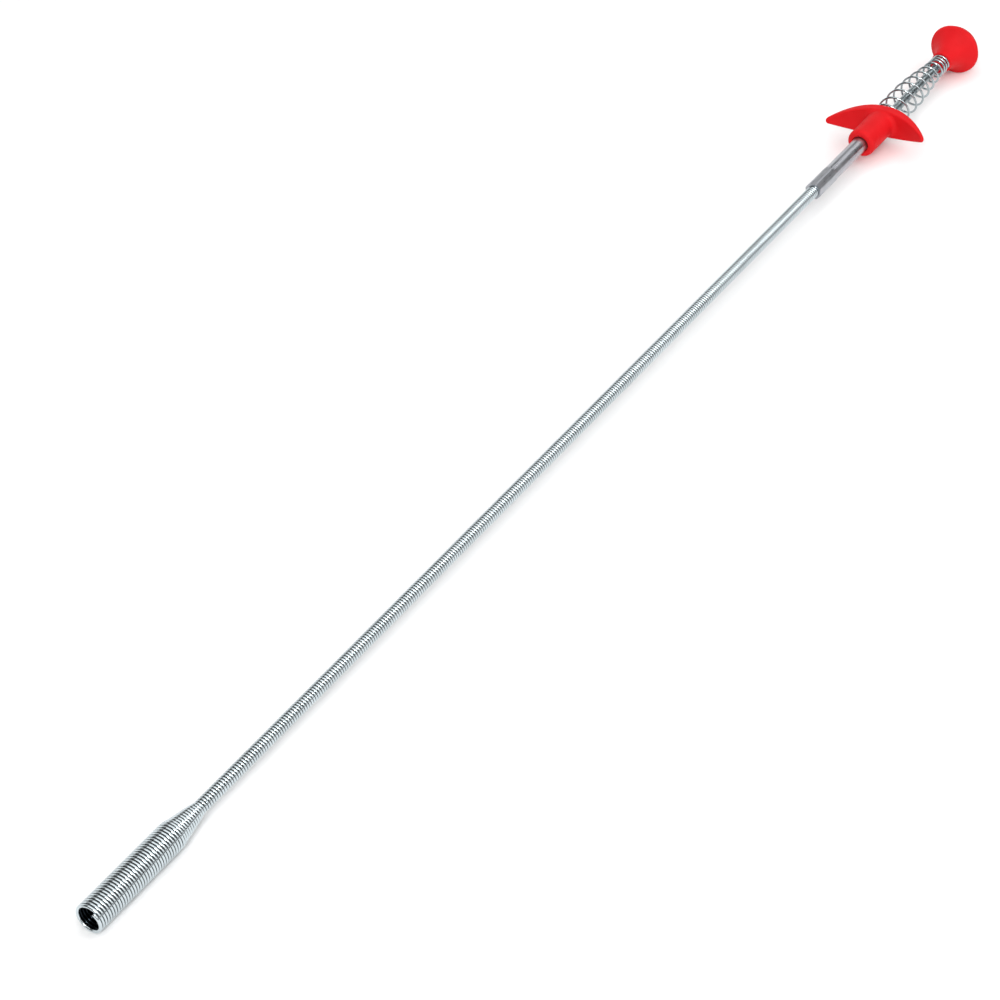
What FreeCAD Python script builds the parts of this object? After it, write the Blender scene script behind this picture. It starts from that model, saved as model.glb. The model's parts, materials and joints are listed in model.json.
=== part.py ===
"""Spring-claw drain auger: a push knob slides a core wire through a flexible wire
sheath and pushes four claw wires out of the wide tip; a conical spring draws them back.

Millimetres. The origin is the centre of the tip's mouth. +X runs along the tool from
the mouth to the knob, +Z is up and the wings of the finger grip lie along Y.
"""

import FreeCAD, Part
import math
import os

from FreeCAD import Vector

# ---- driving dimensions -------------------------------------------------------------
WIRE = 1.2  # wire that the sheath is wound from
TIP_RADIUS = 5.4  # outside of the wide coil
TIP_END = 43.3  # where the wide coil starts to narrow
TAPER_END = 57.5
SHAFT_RADIUS = 2.525  # outside of the sheath
HINGE_PLANES = [74.0 + 76.0 * i for i in range(6)]  # where the sheath may bend
HINGE_GAP = 0.65  # from a bend plane to the end of a sheath piece
SHEATH_END = 486.0  # inside the crimped end of the handle tube

CORE_RADIUS = 0.65
ROD_RADIUS = 1.85
ROD_FRONT = 521.5
ROD_BACK = 600.0
TRAVEL = 32.0  # of the knob, and of the claws

TUBE_FRONT = 472.3
CRIMP_END = 486.7
TUBE_BACK = 533.0
TUBE_RADIUS = 3.3
TUBE_BORE = 2.5
CRIMP_RADIUS = 3.62  # over the corners that the crimp leaves
CRIMP_FLAT = 3.42  # to each of its flats
CRIMP_SIDES = 8

HUB_FRONT = 513.1
HUB_RADIUS = 6.1
HUB_ROUND = 1.8
FLANGE_TOP = 536.4
SPRING_SEAT = 535.7
WING_REACH = 22.9  # from the axis to each wing's end
WING_HALF_WIDTH = 6.5
WING_BEND = 31.5  # radius of the flange's back face
WING_FRONT_BEND = 40.0  # radius of its front face
WING_THICKNESS = 4.4  # on the axis
WING_START = 518.0  # the wings' outline is drawn from here back
WING_END_RADIUS = 1.6  # of the round ends of that outline

SPRING_WIRE = 0.84
SPRING_WIDE = 6.2  # centreline radius at the grip
SPRING_NARROW = 3.7  # centreline radius at the knob
KNOB_SEAT = 588.5

KNOB_STEM_FRONT = 584.3
KNOB_STEM_RADIUS = 2.95
KNOB_NECK = 4.6
KNOB_RIM = 11.15
KNOB_RIM_PLANE = 601.5
KNOB_END = 610.0

COLLET_FRONT = 34.0
COLLET_BACK = 43.0
COLLET_RADIUS = 3.9
CLAW_RADIUS = 0.45
CLAW_FOOT = 1.0  # from the axis to where a claw starts
CLAW_COUNT = 4

FIT = 0.05  # radial clearance of a running fit
PRESSED = 0.01  # radial clearance where one piece is pressed on another
CLEAR = 0.3

AXIS = Vector(1, 0, 0)


# ---- shapes -------------------------------------------------------------------------
def at(x, r=0.0):
    """A point in the XZ half plane, r from the tool's axis."""
    return Vector(x, 0, r)


def cylinder(radius, start, end):
    return Part.makeCylinder(radius, end - start, at(start), AXIS)


def tube(radius, bore, start, end):
    return cylinder(radius, start, end).cut(cylinder(bore, start - 1, end + 1))


def turned(outline):
    """The solid that a closed outline of points and three-point arcs sweeps round the axis.

    An arc is written as a pair: the point it passes through and the point it ends at."""
    edges, last = [], outline[0]
    for step in list(outline[1:]) + [outline[0]]:
        if isinstance(step, tuple):
            through, end = step
            edges.append(Part.Arc(last, through, end).toShape())
        else:
            end = step
            edges.append(Part.makeLine(last, end))
        last = end
    face = Part.Face(Part.Wire(edges))
    return face.revolve(Vector(0, 0, 0), AXIS, 360)


def swept_wire(path, radius):
    """Round wire along a smooth path of points."""
    curve = Part.BSplineCurve()
    curve.interpolate(path)
    edge = curve.toShape()
    tangent = curve.tangent(curve.FirstParameter)[0]
    ring = Part.Wire([Part.makeCircle(radius, path[0], tangent)])
    return Part.Wire([edge]).makePipeShell([ring], True, True)


# ---- flexible sheath, wide tip and core wire ----------------------------------------
def tip_coil():
    """The last stretch of the sheath, which widens into the open-mouthed tip."""
    back = HINGE_PLANES[0] - HINGE_GAP
    return turned([
        at(0, TIP_RADIUS - WIRE),
        at(0, TIP_RADIUS),
        at(TIP_END, TIP_RADIUS),
        at(TAPER_END, SHAFT_RADIUS),
        at(back, SHAFT_RADIUS),
        at(back, SHAFT_RADIUS - WIRE),
        at(TAPER_END, SHAFT_RADIUS - WIRE),
        at(TIP_END, TIP_RADIUS - WIRE),
    ])


def sheath_piece(start, end):
    """A straight stretch of sheath between two bend planes."""
    return tube(SHAFT_RADIUS, SHAFT_RADIUS - WIRE, start, end)


def core_wire(start, end):
    return cylinder(CORE_RADIUS, start, end)


def claw_collet():
    """Sleeve that holds the four claws and is crimped on the end of the core wire."""
    body = turned([
        at(COLLET_FRONT, 0),
        at(COLLET_FRONT, COLLET_RADIUS - 0.4),
        at(COLLET_FRONT + 0.4, COLLET_RADIUS),
        at(COLLET_BACK - 2.0, COLLET_RADIUS),
        at(COLLET_BACK, 1.6),
        at(COLLET_BACK + 2.5, 1.3),
        at(COLLET_BACK + 2.5, 0),
    ])
    return body.cut(cylinder(CORE_RADIUS + PRESSED, COLLET_BACK - 3.0, COLLET_BACK + 3.0))


def claw_wire(turn):
    """One claw: a slim spring wire, bowed in at the middle, with a hooked end."""
    foot = COLLET_FRONT - CLEAR
    reach_and_offset = [
        (0, CLAW_FOOT), (6, CLAW_FOOT + 0.1), (13, CLAW_FOOT + 0.02), (20, CLAW_FOOT + 0.1),
        (24.5, CLAW_FOOT + 0.6), (26.4, CLAW_FOOT + 0.6), (27.5, CLAW_FOOT - 0.2),
    ]
    path = [at(foot - reach, offset) for reach, offset in reach_and_offset]
    claw = swept_wire(path, CLAW_RADIUS)
    claw.rotate(Vector(0, 0, 0), AXIS, turn)
    return claw


# ---- handle -------------------------------------------------------------------------
def handle_tube():
    """Plated tube; its front end is crimped in flats on to the sheath."""
    crimp_corners = cylinder(CRIMP_RADIUS, TUBE_FRONT, CRIMP_END)
    across = CRIMP_FLAT / math.cos(math.pi / CRIMP_SIDES)
    ring = [
        Vector(TUBE_FRONT, across * math.cos(a), across * math.sin(a))
        for a in (2 * math.pi * (i + 0.5) / CRIMP_SIDES for i in range(CRIMP_SIDES + 1))
    ]
    prism = Part.Face(Part.makePolygon(ring)).extrude(AXIS * (CRIMP_END - TUBE_FRONT))
    crimp = crimp_corners.common(prism)
    shoulder = turned([
        at(CRIMP_END - 0.01, 0),
        at(CRIMP_END - 0.01, CRIMP_FLAT),
        at(CRIMP_END + 0.8, TUBE_RADIUS),
        at(TUBE_BACK, TUBE_RADIUS),
        at(TUBE_BACK, 0),
    ])
    outside = crimp.fuse(shoulder)
    socket = cylinder(SHAFT_RADIUS + FIT, TUBE_FRONT - 1, SHEATH_END + 0.2)
    return outside.cut(socket).cut(cylinder(TUBE_BORE, SHEATH_END, TUBE_BACK + 1))


def guide_bush():
    """Flanged bush in the back of the tube, which guides the plunger rod."""
    front = TUBE_BACK - 7.0
    lip = TUBE_BACK + 1.5
    return turned([
        at(front, ROD_RADIUS + FIT),
        at(front, TUBE_BORE - PRESSED),
        at(TUBE_BACK, TUBE_BORE - PRESSED),
        at(TUBE_BACK, TUBE_RADIUS - PRESSED),
        at(lip, TUBE_RADIUS - PRESSED),
        at(lip, ROD_RADIUS + FIT),
    ])


def leaf_outline():
    """Closed outline of the wings, seen along the axis: two long arcs with round ends."""
    end_centre = WING_REACH - WING_END_RADIUS
    side_radius = (end_centre ** 2 + WING_HALF_WIDTH ** 2 - WING_END_RADIUS ** 2) / (
        2 * (WING_HALF_WIDTH - WING_END_RADIUS)
    )
    lean = math.atan2(end_centre, side_radius - WING_HALF_WIDTH)
    meet_y = end_centre + WING_END_RADIUS * math.sin(lean)
    meet_z = WING_END_RADIUS * math.cos(lean)

    def corner(y, z):
        return Vector(WING_START, y, z)

    arcs = [
        Part.Arc(corner(-meet_y, meet_z), corner(0, WING_HALF_WIDTH), corner(meet_y, meet_z)),
        Part.Arc(corner(meet_y, meet_z), corner(WING_REACH, 0), corner(meet_y, -meet_z)),
        Part.Arc(corner(meet_y, -meet_z), corner(0, -WING_HALF_WIDTH), corner(-meet_y, -meet_z)),
        Part.Arc(corner(-meet_y, -meet_z), corner(-WING_REACH, 0), corner(-meet_y, meet_z)),
    ]
    return Part.Face(Part.Wire([arc.toShape() for arc in arcs]))


def bent_slab(radius, apex):
    """A disc on edge, as wide as the wings and more, whose rim touches the apex."""
    deep = 4 * WING_HALF_WIDTH
    centre = Vector(apex - radius, 0, -deep / 2)
    disc = Part.makeCylinder(radius, deep, centre, Vector(0, 0, 1))
    disc.rotate(centre, Vector(0, 0, 1), 180)  # its seam faces away from the wings
    return disc


def finger_grip():
    """Moulded hub with two leaf-shaped wings that curve forwards."""
    hub = turned([
        at(HUB_FRONT, 0),
        at(HUB_FRONT, HUB_RADIUS - HUB_ROUND),
        (at(HUB_FRONT + 0.29 * HUB_ROUND, HUB_RADIUS - 0.29 * HUB_ROUND),
         at(HUB_FRONT + HUB_ROUND, HUB_RADIUS)),
        at(FLANGE_TOP - WING_THICKNESS / 2, HUB_RADIUS),
        at(FLANGE_TOP - WING_THICKNESS / 2, 0),
    ])
    leaf = leaf_outline().extrude(AXIS * (FLANGE_TOP + 1 - WING_START))
    back = bent_slab(WING_BEND, FLANGE_TOP)
    front = bent_slab(WING_FRONT_BEND, FLANGE_TOP - WING_THICKNESS)
    wings = leaf.common(back).cut(front)
    rims = [edge for edge in wings.Edges if edge.Length > 2 * WING_END_RADIUS]
    wings = rounded(wings, rims, (0.8, 0.6, 0.4))
    grip = hub.fuse(wings)
    joins = [
        edge for edge in grip.Edges
        if FLANGE_TOP - 9 < edge.CenterOfMass.x < FLANGE_TOP - 3.5
        and abs(edge.CenterOfMass.y) < HUB_RADIUS + 1.5
    ]
    grip = rounded(grip, joins, (2.0, 1.4, 0.9, 0.5))
    bore = cylinder(TUBE_RADIUS + PRESSED, HUB_FRONT - 1, TUBE_BACK + 1.7)
    mouth = Part.makeCone(TUBE_RADIUS + 0.5, TUBE_RADIUS, 0.9, at(HUB_FRONT - 0.01), AXIS)
    way_out = cylinder(ROD_RADIUS + 0.2, TUBE_BACK, FLANGE_TOP + 1)
    seat = cylinder(SPRING_WIDE + SPRING_WIRE, SPRING_SEAT, FLANGE_TOP + 1)
    return grip.cut(bore).cut(mouth).cut(way_out).cut(seat)


def rounded(solid, edges, radii):
    """The solid with those edges rounded by the largest radius that its faces allow."""
    for radius in radii:
        try:
            result = solid.makeFillet(radius, edges)
        except Part.OCCError:
            continue
        if result.isValid() and len(result.Solids) == 1 and result.Volume > 0.5 * solid.Volume:
            print(f"rounded {len(edges)} edges by {radius}")
            return result
    print(f"{len(edges)} edges stay sharp")
    return solid


# ---- plunger ------------------------------------------------------------------------
def plunger_rod():
    """Rod from the knob into the handle tube, bored at the front for the core wire."""
    rod = turned([
        at(ROD_FRONT, 0),
        at(ROD_FRONT, ROD_RADIUS - 0.4),
        at(ROD_FRONT + 0.4, ROD_RADIUS),
        at(ROD_BACK, ROD_RADIUS),
        at(ROD_BACK, 0),
    ])
    return rod.cut(cylinder(CORE_RADIUS + PRESSED, ROD_FRONT - 1, ROD_FRONT + 8.0))


def stop_collar():
    """Collar pressed on the rod; it meets the guide bush and ends the spring's stroke."""
    return tube(TUBE_BORE - 0.15, ROD_RADIUS + PRESSED, ROD_FRONT + 0.5, TUBE_BACK - 7.3)


def knob():
    """Mushroom knob: flat-seated neck, hollow flare out to the rim and a domed crown."""
    rim_front = at(KNOB_RIM_PLANE - 1.3, KNOB_RIM - 0.55)
    rim_back = at(KNOB_RIM_PLANE + 1.2, KNOB_RIM - 0.6)
    height = KNOB_END - rim_back.x
    dome = (rim_back.z ** 2 + height ** 2) / (2 * height)
    lean = math.asin(rim_back.z / dome) / 2
    shoulder = at(KNOB_END - dome + dome * math.cos(lean), dome * math.sin(lean))
    outside = turned([
        at(KNOB_STEM_FRONT, 0),
        at(KNOB_STEM_FRONT, KNOB_STEM_RADIUS - 0.3),
        at(KNOB_STEM_FRONT + 0.3, KNOB_STEM_RADIUS),
        at(KNOB_SEAT, KNOB_STEM_RADIUS),
        at(KNOB_SEAT, KNOB_NECK - 0.4),
        at(KNOB_SEAT + 0.4, KNOB_NECK),
        (at(KNOB_SEAT + 7.0, KNOB_NECK + 1.6), rim_front),
        (at(KNOB_RIM_PLANE - 0.1, KNOB_RIM), rim_back),
        (shoulder, at(KNOB_END, 0)),
    ])
    return outside.cut(cylinder(ROD_RADIUS + PRESSED, KNOB_STEM_FRONT - 1, ROD_BACK))


# ---- return spring ------------------------------------------------------------------
def smooth(value, low, high):
    """0 before low, 1 after high, and an even S between them."""
    share = min(max((value - low) / (high - low), 0.0), 1.0)
    return share * share * (3 - 2 * share)


SPRING_TURNS = 11.25
SPRING_STEPS = 24  # points for each turn


def spring_pitch(turn):
    """Closed at both ends; the open turns close up a little towards the knob."""
    opened = smooth(turn, 0.5, 1.3) * (1 - smooth(turn, 7.7, 8.7))
    return 0.95 + (6.7 - 0.33 * max(turn - 2.5, 0) - 0.95) * opened


def spring_radius(turn):
    """Even over the first turns, then narrowing to the last ones."""
    return SPRING_WIDE + (SPRING_NARROW - SPRING_WIDE) * smooth(turn, 3.2, 9.4)


def return_spring():
    """Conical compression spring between the grip's back face and the knob's neck."""
    count = int(SPRING_TURNS * SPRING_STEPS)
    climb = [0.0]
    for i in range(count):
        climb.append(climb[-1] + spring_pitch((i + 0.5) / SPRING_STEPS) / SPRING_STEPS)
    start = SPRING_SEAT + SPRING_WIRE / 2 + 0.02
    stretch = (KNOB_SEAT - SPRING_WIRE / 2 - 0.06 - start) / climb[-1]
    path = []
    for i, rise in enumerate(climb):
        turn = i / SPRING_STEPS
        angle, radius = 2 * math.pi * turn, spring_radius(turn)
        path.append(Vector(start + rise * stretch, radius * math.cos(angle), radius * math.sin(angle)))
    return swept_wire(path, SPRING_WIRE / 2)


# ---- the nodes ----------------------------------------------------------------------
def pieces():
    """Every node's name and solid."""
    yield "knob", knob()
    yield "plunger_rod", plunger_rod()
    yield "rod_stop_collar", stop_collar()
    yield "core_wire_rear", core_wire(HINGE_PLANES[-1] + TRAVEL + 1.0, ROD_FRONT + 7.5)
    yield "return_spring", return_spring()
    yield "finger_grip", finger_grip()
    yield "handle_tube", handle_tube()
    yield "rod_guide_bush", guide_bush()
    yield "sheath_rear", sheath_piece(HINGE_PLANES[-1] + HINGE_GAP, SHEATH_END)
    for i, (front, back) in enumerate(zip(HINGE_PLANES[-2::-1], HINGE_PLANES[:0:-1]), 1):
        yield f"sheath_{i}", sheath_piece(front + HINGE_GAP, back - HINGE_GAP)
        yield f"core_wire_{i}", core_wire(front + HINGE_GAP, back - HINGE_GAP)
    yield "tip_coil", tip_coil()
    yield "core_wire_front", core_wire(COLLET_BACK - 2.9, HINGE_PLANES[0] - 1.0)
    yield "claw_collet", claw_collet()
    for i in range(CLAW_COUNT):
        yield f"claw_wire_{i + 1}", claw_wire(45 + 90 * i)


os.makedirs("parts", exist_ok=True)
for name, solid in pieces():
    solid.exportStep(f"parts/{name}.step")
    box = solid.BoundBox
    print(
        f"{name:18s} {solid.ShapeType:9s} valid {solid.isValid()} volume {solid.Volume:9.2f}"
        f"  X {box.XMin:.2f} to {box.XMax:.2f}  Y {box.YMin:.2f} to {box.YMax:.2f}"
        f"  Z {box.ZMin:.2f} to {box.ZMax:.2f}"
    )
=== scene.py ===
"""Looks of the spring-claw drain auger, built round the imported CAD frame.

Metres. The frame's origin is the centre of the tip's mouth, +X runs to the push knob, +Z is up
and the wings of the finger grip lie along Y.
"""

import json
import math

import bpy
from mathutils import Matrix, Vector

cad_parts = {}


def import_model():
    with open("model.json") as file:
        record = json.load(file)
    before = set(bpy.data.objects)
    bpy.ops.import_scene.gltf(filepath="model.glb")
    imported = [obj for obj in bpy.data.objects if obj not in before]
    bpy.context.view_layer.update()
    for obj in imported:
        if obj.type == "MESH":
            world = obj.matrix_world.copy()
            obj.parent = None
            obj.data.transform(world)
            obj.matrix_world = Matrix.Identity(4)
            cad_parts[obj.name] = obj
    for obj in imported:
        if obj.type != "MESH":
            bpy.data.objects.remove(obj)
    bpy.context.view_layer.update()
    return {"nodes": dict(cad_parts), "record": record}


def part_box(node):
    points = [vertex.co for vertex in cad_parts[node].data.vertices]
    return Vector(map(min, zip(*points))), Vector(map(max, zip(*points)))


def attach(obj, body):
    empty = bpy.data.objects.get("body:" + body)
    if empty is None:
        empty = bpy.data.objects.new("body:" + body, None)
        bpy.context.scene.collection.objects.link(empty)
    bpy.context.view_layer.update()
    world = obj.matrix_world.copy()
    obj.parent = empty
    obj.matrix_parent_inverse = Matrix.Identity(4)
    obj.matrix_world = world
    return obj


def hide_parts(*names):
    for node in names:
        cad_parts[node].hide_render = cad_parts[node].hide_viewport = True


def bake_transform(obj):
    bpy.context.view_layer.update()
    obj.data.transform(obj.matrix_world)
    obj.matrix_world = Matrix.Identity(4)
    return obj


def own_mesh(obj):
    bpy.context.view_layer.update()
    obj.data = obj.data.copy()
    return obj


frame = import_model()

MM = 0.001


# ---- places, from the frame ---------------------------------------------------------
def low(node):
    return Vector(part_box(node)[0])


def high(node):
    return Vector(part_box(node)[1])


JOINTS = {joint["name"]: joint for joint in frame["record"]["behaviour"]["joints"]}
BENDS_FROM_TIP = [JOINTS[f"shaft_bend_{number}"] for number in range(6, 0, -1)]

# the close-wound wire of the sheath and the tip
WIRE = 1.2 * MM
COIL_PITCH = 1.24 * MM
COIL_PHASE = 0.36  # of a turn, to where the wire ends at the mouth
TIP_STEPS, TIP_SIDES = 44, 12  # points for each turn of the tip, and round its wire
SHEATH_STEPS, SHEATH_SIDES = 28, 10
TIP_RADIUS = high("tip_coil").z
TIP_END = 43.3 * MM  # where the wide part ends and the taper starts
TAPER_END = 57.5 * MM
TAPER_EASE = 0.035  # how far the taper is rounded at its two ends
SHAFT_RADIUS = high("sheath_1").z
SHEATH_END = high("sheath_rear").x

# the conical return spring, between the grip and the knob
SPRING_WIRE = 0.92 * MM
SPRING_SIDES = 12
SPRING_SEAT = 535.7 * MM
KNOB_SEAT = 588.5 * MM
SPRING_TURNS = 11.25
SPRING_STEPS = 40
SPRING_PHASE = 0.3  # of a turn
SPRING_WIDE, SPRING_NARROWING = 6.2, 2.5  # centreline radius at the grip, and its loss at the knob

KNOB_RIM_PLANE = 601.5 * MM
FLOOR_HALF = 6.0
FLOOR_GAP = 0.05 * MM  # between the floor and what stands on it


def smooth(value, start, end):
    share = min(max((value - start) / (end - start), 0.0), 1.0)
    return share * share * (3 - 2 * share)


# ---- mesh helpers -------------------------------------------------------------------
def new_object(name, data):
    made = bpy.data.objects.new(name, data)
    bpy.context.scene.collection.objects.link(made)
    return made


def new_piece(name, mesh, finish, node):
    """A visible piece that takes the place of one CAD node."""
    mesh.materials.append(finish)
    piece = new_object(name, mesh)
    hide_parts(node)
    return piece


def sweep(name, path, radius, sides, outward=None):
    """A round bar along a path of points, with flat ends.

    Its UV map counts points along the bar in U, and goes once round it in V from outward."""
    count = len(path)
    verts, normal = [], None
    for i, point in enumerate(path):
        ahead = path[min(i + 1, count - 1)] - path[max(i - 1, 0)]
        tangent = ahead.normalized()
        if outward:
            normal = outward[i]
        elif normal is None:
            normal = tangent.cross(Vector((0.3, 0.5, 0.8)))
        normal = (normal - tangent * normal.dot(tangent)).normalized()
        other = tangent.cross(normal)
        for k in range(sides):
            turn = 2 * math.pi * k / sides
            verts.append(point + (normal * math.cos(turn) + other * math.sin(turn)) * radius)
    faces, places = [], []
    for i in range(count - 1):
        for k in range(sides):
            after = (k + 1) % sides
            faces.append((i * sides + k, i * sides + after, (i + 1) * sides + after, (i + 1) * sides + k))
            near, far = k / sides, (k + 1) / sides
            places += [(i, near), (i, far), (i + 1, far), (i + 1, near)]
    faces.append(tuple(reversed(range(sides))))
    faces.append(tuple(range((count - 1) * sides, count * sides)))
    places += [(0, 0)] * sides + [(count - 1, 0)] * sides
    mesh = bpy.data.meshes.new(name)
    mesh.from_pydata(verts, [], faces)
    layer = mesh.uv_layers.new(name="UVMap")
    layer.data.foreach_set("uv", [number for place in places for number in place])
    for polygon in mesh.polygons:
        polygon.use_smooth = len(polygon.vertices) == 4
    mesh.update()
    return mesh


# ---- materials ----------------------------------------------------------------------
MIX_A, MIX_B, MIX_RESULT = 6, 7, 2  # the colour sockets of a Mix node


def material(name):
    made = bpy.data.materials.new(name)
    made.use_nodes = True
    nodes, links = made.node_tree.nodes, made.node_tree.links
    shader = nodes["Principled BSDF"]
    return made, nodes, links, shader


def noise(nodes, links, coords, scale, detail=3.0):
    mapping = nodes.new("ShaderNodeMapping")
    mapping.inputs["Scale"].default_value = scale
    links.new(coords, mapping.inputs["Vector"])
    made = nodes.new("ShaderNodeTexNoise")
    made.inputs["Scale"].default_value = 1.0
    made.inputs["Detail"].default_value = detail
    links.new(mapping.outputs["Vector"], made.inputs["Vector"])
    return made.outputs["Fac"]


def ramp(nodes, links, value, stops):
    made = nodes.new("ShaderNodeValToRGB")
    elements = made.color_ramp.elements
    for element, (place, colour) in zip(elements, stops):
        element.position, element.color = place, (*colour, 1)
    for place, colour in stops[2:]:
        elements.new(place).color = (*colour, 1)
    links.new(value, made.inputs["Fac"])
    return made.outputs["Color"]


def bump(nodes, links, value, strength, distance, shader):
    made = nodes.new("ShaderNodeBump")
    made.inputs["Strength"].default_value = strength
    made.inputs["Distance"].default_value = distance
    links.new(value, made.inputs["Height"])
    links.new(made.outputs["Normal"], shader.inputs["Normal"])


def rough_range(nodes, links, value, lowest, highest, shader):
    made = nodes.new("ShaderNodeMapRange")
    made.inputs["From Min"].default_value = 0.3
    made.inputs["From Max"].default_value = 0.7
    made.inputs["To Min"].default_value = lowest
    made.inputs["To Max"].default_value = highest
    links.new(value, made.inputs["Value"])
    links.new(made.outputs["Result"], shader.inputs["Roughness"])


def math_node(nodes, links, operation, first, second):
    made = nodes.new("ShaderNodeMath")
    made.operation = operation
    links.new(first, made.inputs[0])
    if isinstance(second, (int, float)):
        made.inputs[1].default_value = second
    elif second:
        links.new(second, made.inputs[1])
    return made.outputs[0]


def object_coords(nodes):
    return nodes.new("ShaderNodeTexCoord").outputs["Object"]


def red_plastic():
    made, nodes, links, shader = material("red_plastic")
    coords = object_coords(nodes)
    blotch = noise(nodes, links, coords, (120, 120, 120), 2.0)
    colour = ramp(nodes, links, blotch, [(0.3, (0.61, 0.005, 0.008)), (0.7, (0.66, 0.008, 0.012))])
    links.new(colour, shader.inputs["Base Color"])
    grain = noise(nodes, links, coords, (2600, 2600, 2600), 2.0)
    rough_range(nodes, links, grain, 0.55, 0.70, shader)
    bump(nodes, links, grain, 0.12, 0.02 * MM, shader)
    shader.inputs["Specular IOR Level"].default_value = 0.15
    return made


def crest(nodes, links, first_turn):
    """1 on the outward side of a close-wound wire and on its first turn, 0 in the grooves, where painted
    shade is mixed in.
    """
    split = nodes.new("ShaderNodeSeparateXYZ")
    links.new(nodes.new("ShaderNodeTexCoord").outputs["UV"], split.inputs["Vector"])
    turn = math_node(nodes, links, "MULTIPLY", split.outputs["Y"], 2 * math.pi)
    out = math_node(nodes, links, "COSINE", turn, None)
    spread = nodes.new("ShaderNodeMapRange")
    spread.interpolation_type = "SMOOTHSTEP"
    spread.inputs["From Min"].default_value = 0.30
    spread.inputs["From Max"].default_value = 0.92
    links.new(out, spread.inputs["Value"])
    end = math_node(nodes, links, "LESS_THAN", split.outputs["X"], first_turn)
    return math_node(nodes, links, "MAXIMUM", spread.outputs["Result"], end)


def bright_wire(name, tint, lowest, highest, groove=None, first_turn=0):
    """Plated wire: fine drawing marks, a little colour drift and, in a close coil, painted shade in its
    grooves.
    """
    made, nodes, links, shader = material(name)
    coords = object_coords(nodes)
    drift = noise(nodes, links, coords, (90, 300, 300), 3.0)
    dark = tuple(c * 0.84 for c in tint)
    colour = ramp(nodes, links, drift, [(0.3, dark), (0.7, tint)])
    marks = noise(nodes, links, coords, (1500, 2500, 2500), 4.0)
    if groove:
        mix = nodes.new("ShaderNodeMix")
        mix.data_type = "RGBA"
        links.new(crest(nodes, links, first_turn), mix.inputs["Factor"])
        # the grooves between turns get the painted shade colour
        mix.inputs[MIX_A].default_value = (*groove, 1)
        links.new(colour, mix.inputs[MIX_B])
        colour = mix.outputs[MIX_RESULT]
    links.new(colour, shader.inputs["Base Color"])
    rough_range(nodes, links, marks, lowest, highest, shader)
    bump(nodes, links, marks, 0.08, 0.01 * MM, shader)
    shader.inputs["Metallic"].default_value = 1.0
    return made


def plated_tube():
    """Dull plating with marks drawn along the tube."""
    made, nodes, links, shader = material("plated_tube")
    coords = object_coords(nodes)
    streaks = noise(nodes, links, coords, (40, 2200, 2200), 4.0)
    blotch = noise(nodes, links, coords, (260, 600, 600), 3.0)
    both = math_node(nodes, links, "MULTIPLY", math_node(nodes, links, "ADD", streaks, blotch), 0.5)
    colour = ramp(nodes, links, both, [(0.3, (0.33, 0.34, 0.37)), (0.7, (0.50, 0.51, 0.54))])
    links.new(colour, shader.inputs["Base Color"])
    rough_range(nodes, links, both, 0.24, 0.38, shader)
    bump(nodes, links, streaks, 0.15, 0.02 * MM, shader)
    shader.inputs["Metallic"].default_value = 1.0
    return made


def turned_brass():
    made, nodes, links, shader = material("turned_brass")
    coords = object_coords(nodes)
    rings = noise(nodes, links, coords, (3000, 60, 60), 2.0)
    colour = ramp(nodes, links, rings, [(0.3, (0.55, 0.40, 0.16)), (0.7, (0.72, 0.56, 0.27))])
    links.new(colour, shader.inputs["Base Color"])
    rough_range(nodes, links, rings, 0.2, 0.34, shader)
    bump(nodes, links, rings, 0.2, 0.02 * MM, shader)
    shader.inputs["Metallic"].default_value = 1.0
    return made


# the second colour is painted shade: near black mixed into the grooves between the turns of a close coil
PLATING, GROOVE_SHADE = (0.64, 0.71, 0.74), (0.012, 0.016, 0.020)

RED = red_plastic()
TIP_WIRE = bright_wire("tip_wire", PLATING, 0.10, 0.18, GROOVE_SHADE, TIP_STEPS)
SHEATH_WIRE = bright_wire("sheath_wire", PLATING, 0.10, 0.18, GROOVE_SHADE)
SPRING_STEEL = bright_wire("spring_wire", (0.46, 0.52, 0.54), 0.12, 0.22)
ROD_STEEL = bright_wire("rod_steel", (0.34, 0.39, 0.41), 0.20, 0.32)
TUBE_PLATE = plated_tube()
BRASS = turned_brass()


# ---- flexible sheath: one close-wound wire, cut where its stretches meet --------------
def coil_radius(x):
    """Centreline radius of the sheath's wire at a place along the tool."""
    wide, narrow = TIP_RADIUS - WIRE / 2, SHAFT_RADIUS - WIRE / 2
    share = (x - TIP_END) / (TAPER_END - TIP_END)
    if share <= 0:
        return wide
    if share >= 1:
        return narrow
    eased = share + TAPER_EASE * math.sin(2 * math.pi * share)
    return wide + (narrow - wide) * eased


def coil_points(start_turn, end_turn, steps):
    """Points on the wire's centreline, and the outward direction at each."""
    points, outward = [], []
    for i in range(int(round((end_turn - start_turn) * steps)) + 1):
        turn = start_turn + i / steps
        x = WIRE / 2 + turn * COIL_PITCH
        angle = 2 * math.pi * (turn + COIL_PHASE)
        outward.append(Vector((0, math.cos(angle), math.sin(angle))))
        points.append(Vector((x, 0, 0)) + outward[-1] * coil_radius(x))
    return points, outward


def turns_to(x):
    """Whole turns of the sheath's wire from the mouth to a place along the tool."""
    return round((x - WIRE / 2) / COIL_PITCH)


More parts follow.
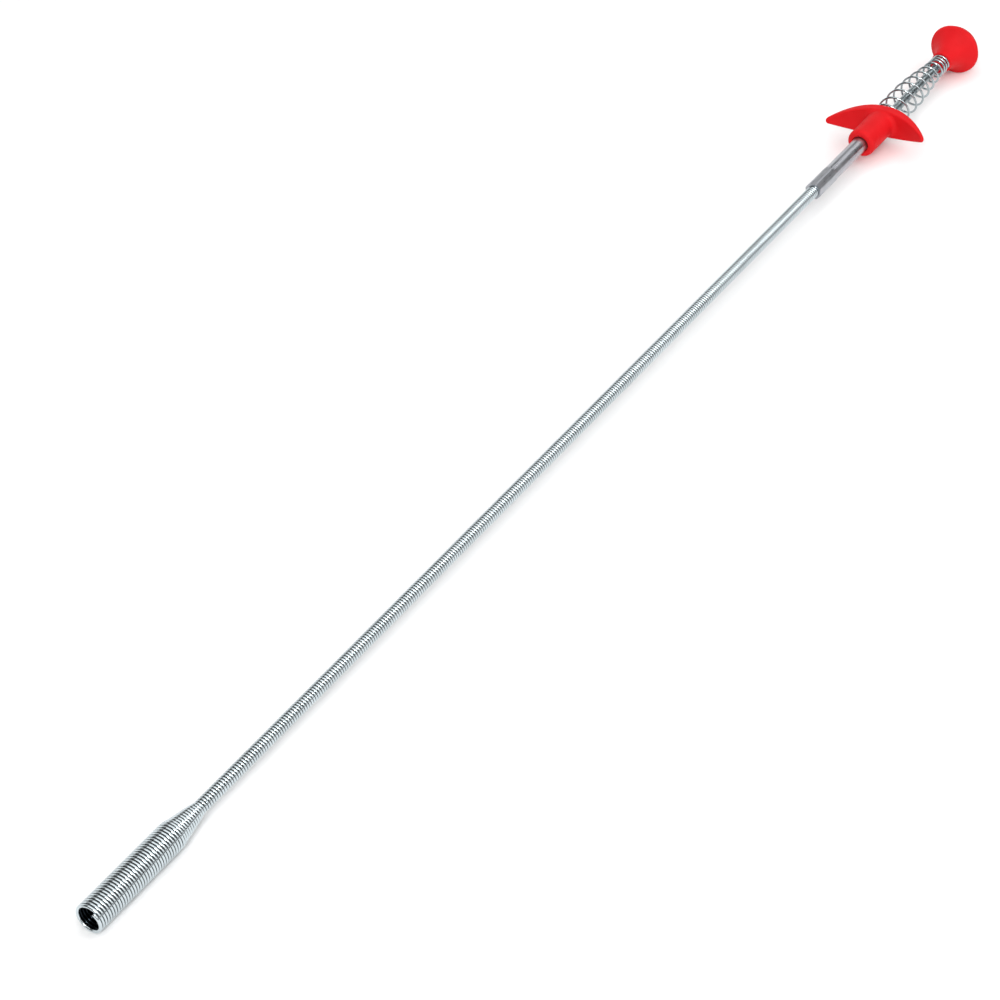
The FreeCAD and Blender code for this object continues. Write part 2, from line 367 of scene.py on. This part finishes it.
def build_sheath():
    """The tip, and six stretches that each span one hinge and meet halfway between hinges."""
    planes = [bend["pos_m"][0] for bend in BENDS_FROM_TIP]
    cuts = [turns_to((a + b) / 2) for a, b in zip(planes, planes[1:])]
    edges = [turns_to(TAPER_END + 2 * MM)] + cuts + [turns_to(SHEATH_END - WIRE)]
    points, outward = coil_points(0, edges[0], TIP_STEPS)
    mesh = sweep("tip_coil_wire", points, WIRE / 2, TIP_SIDES, outward)
    tip = new_piece("tip_coil_wire", mesh, TIP_WIRE, "tip_coil")
    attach(tip, "tip")
    nodes = ["sheath_5", "sheath_4", "sheath_3", "sheath_2", "sheath_1", "sheath_rear"]
    for i, (first, second) in enumerate(zip(edges, edges[1:])):
        name = f"sheath_wire_{6 - i}"
        points, outward = coil_points(first, second, SHEATH_STEPS)
        mesh = sweep(name, points, WIRE / 2, SHEATH_SIDES, outward)
        piece = new_piece(name, mesh, SHEATH_WIRE, nodes[i])
        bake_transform(piece)


build_sheath()


# ---- return spring --------------------------------------------------------------------
def spring_pitch(turn):
    """Rise for each turn in mm: closed at both ends, open and slowly tightening between them."""
    closed = 0.92 if turn < 5 else 1.7
    opened = smooth(turn, 0.77, 1.27) * (1 - smooth(turn, 7.31, 9.25))
    return closed + (6.45 - 0.33 * max(turn - 2.5, 0) - closed) * opened


def spring_radius(turn):
    return (SPRING_WIDE - SPRING_NARROWING * smooth(turn, 3.4, 8.9)) * MM


def build_spring():
    """Conical spring, wide at the grip and narrower at the knob."""
    climb = [0.0]
    for i in range(int(SPRING_TURNS * SPRING_STEPS)):
        climb.append(climb[-1] + spring_pitch((i + 0.5) / SPRING_STEPS))
    start = SPRING_SEAT + SPRING_WIRE / 2 + 0.02 * MM
    stretch = (KNOB_SEAT - SPRING_WIRE / 2 - 0.06 * MM - start) / climb[-1]
    path = []
    for i, rise in enumerate(climb):
        turn = i / SPRING_STEPS
        angle, radius = 2 * math.pi * (turn + SPRING_PHASE), spring_radius(turn)
        path.append(Vector((start + rise * stretch, radius * math.cos(angle), radius * math.sin(angle))))
    mesh = sweep("return_spring_wire", path, SPRING_WIRE / 2, SPRING_SIDES)
    piece = new_piece("return_spring_wire", mesh, SPRING_STEEL, "return_spring")
    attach(piece, "handle")
    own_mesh(piece)


build_spring()


# ---- the rest keeps its CAD shape -----------------------------------------------------
FINISH = {
    "knob": RED, "finger_grip": RED, "handle_tube": TUBE_PLATE, "plunger_rod": ROD_STEEL,
    "rod_stop_collar": TUBE_PLATE, "rod_guide_bush": BRASS, "claw_collet": BRASS,
}
for node, thing in frame["nodes"].items():
    finish = FINISH.get(node)
    if node.startswith("core_wire"):
        finish = ROD_STEEL
    if node.startswith("claw_wire"):
        finish = SPRING_STEEL
    if finish:
        thing.data.materials.clear()
        thing.data.materials.append(finish)


# ---- floor, light and camera ----------------------------------------------------------
def floor():
    """A plane just under the tip and the knob's rim, so it slopes a little."""
    tip_low = low("tip_coil").z
    slope = (low("knob").z - tip_low) / KNOB_RIM_PLANE
    size = FLOOR_HALF
    corners = [(-size, -size), (size, -size), (size, size), (-size, size)]
    mesh = bpy.data.meshes.new("floor")
    mesh.from_pydata([(x, y, tip_low - FLOOR_GAP + slope * x) for x, y in corners], [], [(0, 1, 2, 3)])
    made, _, _, shader = material("floor_white")
    shader.inputs["Base Color"].default_value = (0.93, 0.93, 0.93, 1)
    shader.inputs["Roughness"].default_value = 0.8
    mesh.materials.append(made)
    thing = new_object("floor", mesh)


def area_light(name, place, target, size, power):
    data = bpy.data.lights.new(name, "AREA")
    data.shape = "RECTANGLE"
    data.size, data.size_y = size
    data.energy = power
    thing = new_object(name, data)
    thing.location = place
    thing.rotation_euler = (Vector(target) - Vector(place)).to_track_quat("-Z", "Y").to_euler()


def camera():
    """Above the tip's side of the tool, looking along it towards the knob."""
    forward = Vector((0.639, 0.4135, -0.648)).normalized()
    right = Vector((0.543, -0.8398, 0)).normalized()
    up = right.cross(forward)
    aim = Vector((232 * MM, 0, 0))
    across, above, distance = 2.245, 4.455, 1103
    place = aim + (right * across + up * above - forward * distance) * MM
    roll = Matrix.Rotation(math.radians(8.0), 4, "X")  # the tool is seen rolled about its own axis
    data = bpy.data.cameras.new("camera")
    data.sensor_width = 36
    data.lens = 110.6
    data.clip_end = 50
    thing = new_object("camera", data)
    turn = Matrix((right, up, -forward)).transposed().to_4x4()
    thing.matrix_world = roll @ (Matrix.Translation(place) @ turn)
    bpy.context.scene.camera = thing


def world():
    made = bpy.data.worlds.new("studio")
    bpy.context.scene.world = made
    made.use_nodes = True
    background = made.node_tree.nodes["Background"]
    background.inputs["Color"].default_value = (1, 1, 1, 1)
    background.inputs["Strength"].default_value = 0.16


floor()
camera()
world()
area_light("top", (0.35, -0.35, 1.35), (0.35, 0, 0), (2.2, 2.3), 22)
area_light("near_side", (0.35, -1.47, 0.85), (0.35, 0, 0), (2.2, 1.1), 10)
area_light("far_side", (0.9, 1.6, 0.6), (0.4, 0, 0), (4.6, 1.2), 18)
area_light("rear_top", (2.3, -0.1, 1.35), (0.3, 0, 0), (1.1, 1.9), 5)
area_light("front", (-1.6, -0.9, 1.5), (0.35, 0, 0), (0.6, 0.6), 30)
area_light("strip", (2.0, -0.83, 1.3), (0.3, 0, 0), (1.5, 0.10), 1.5)
bpy.context.scene.view_settings.view_transform = "Standard"
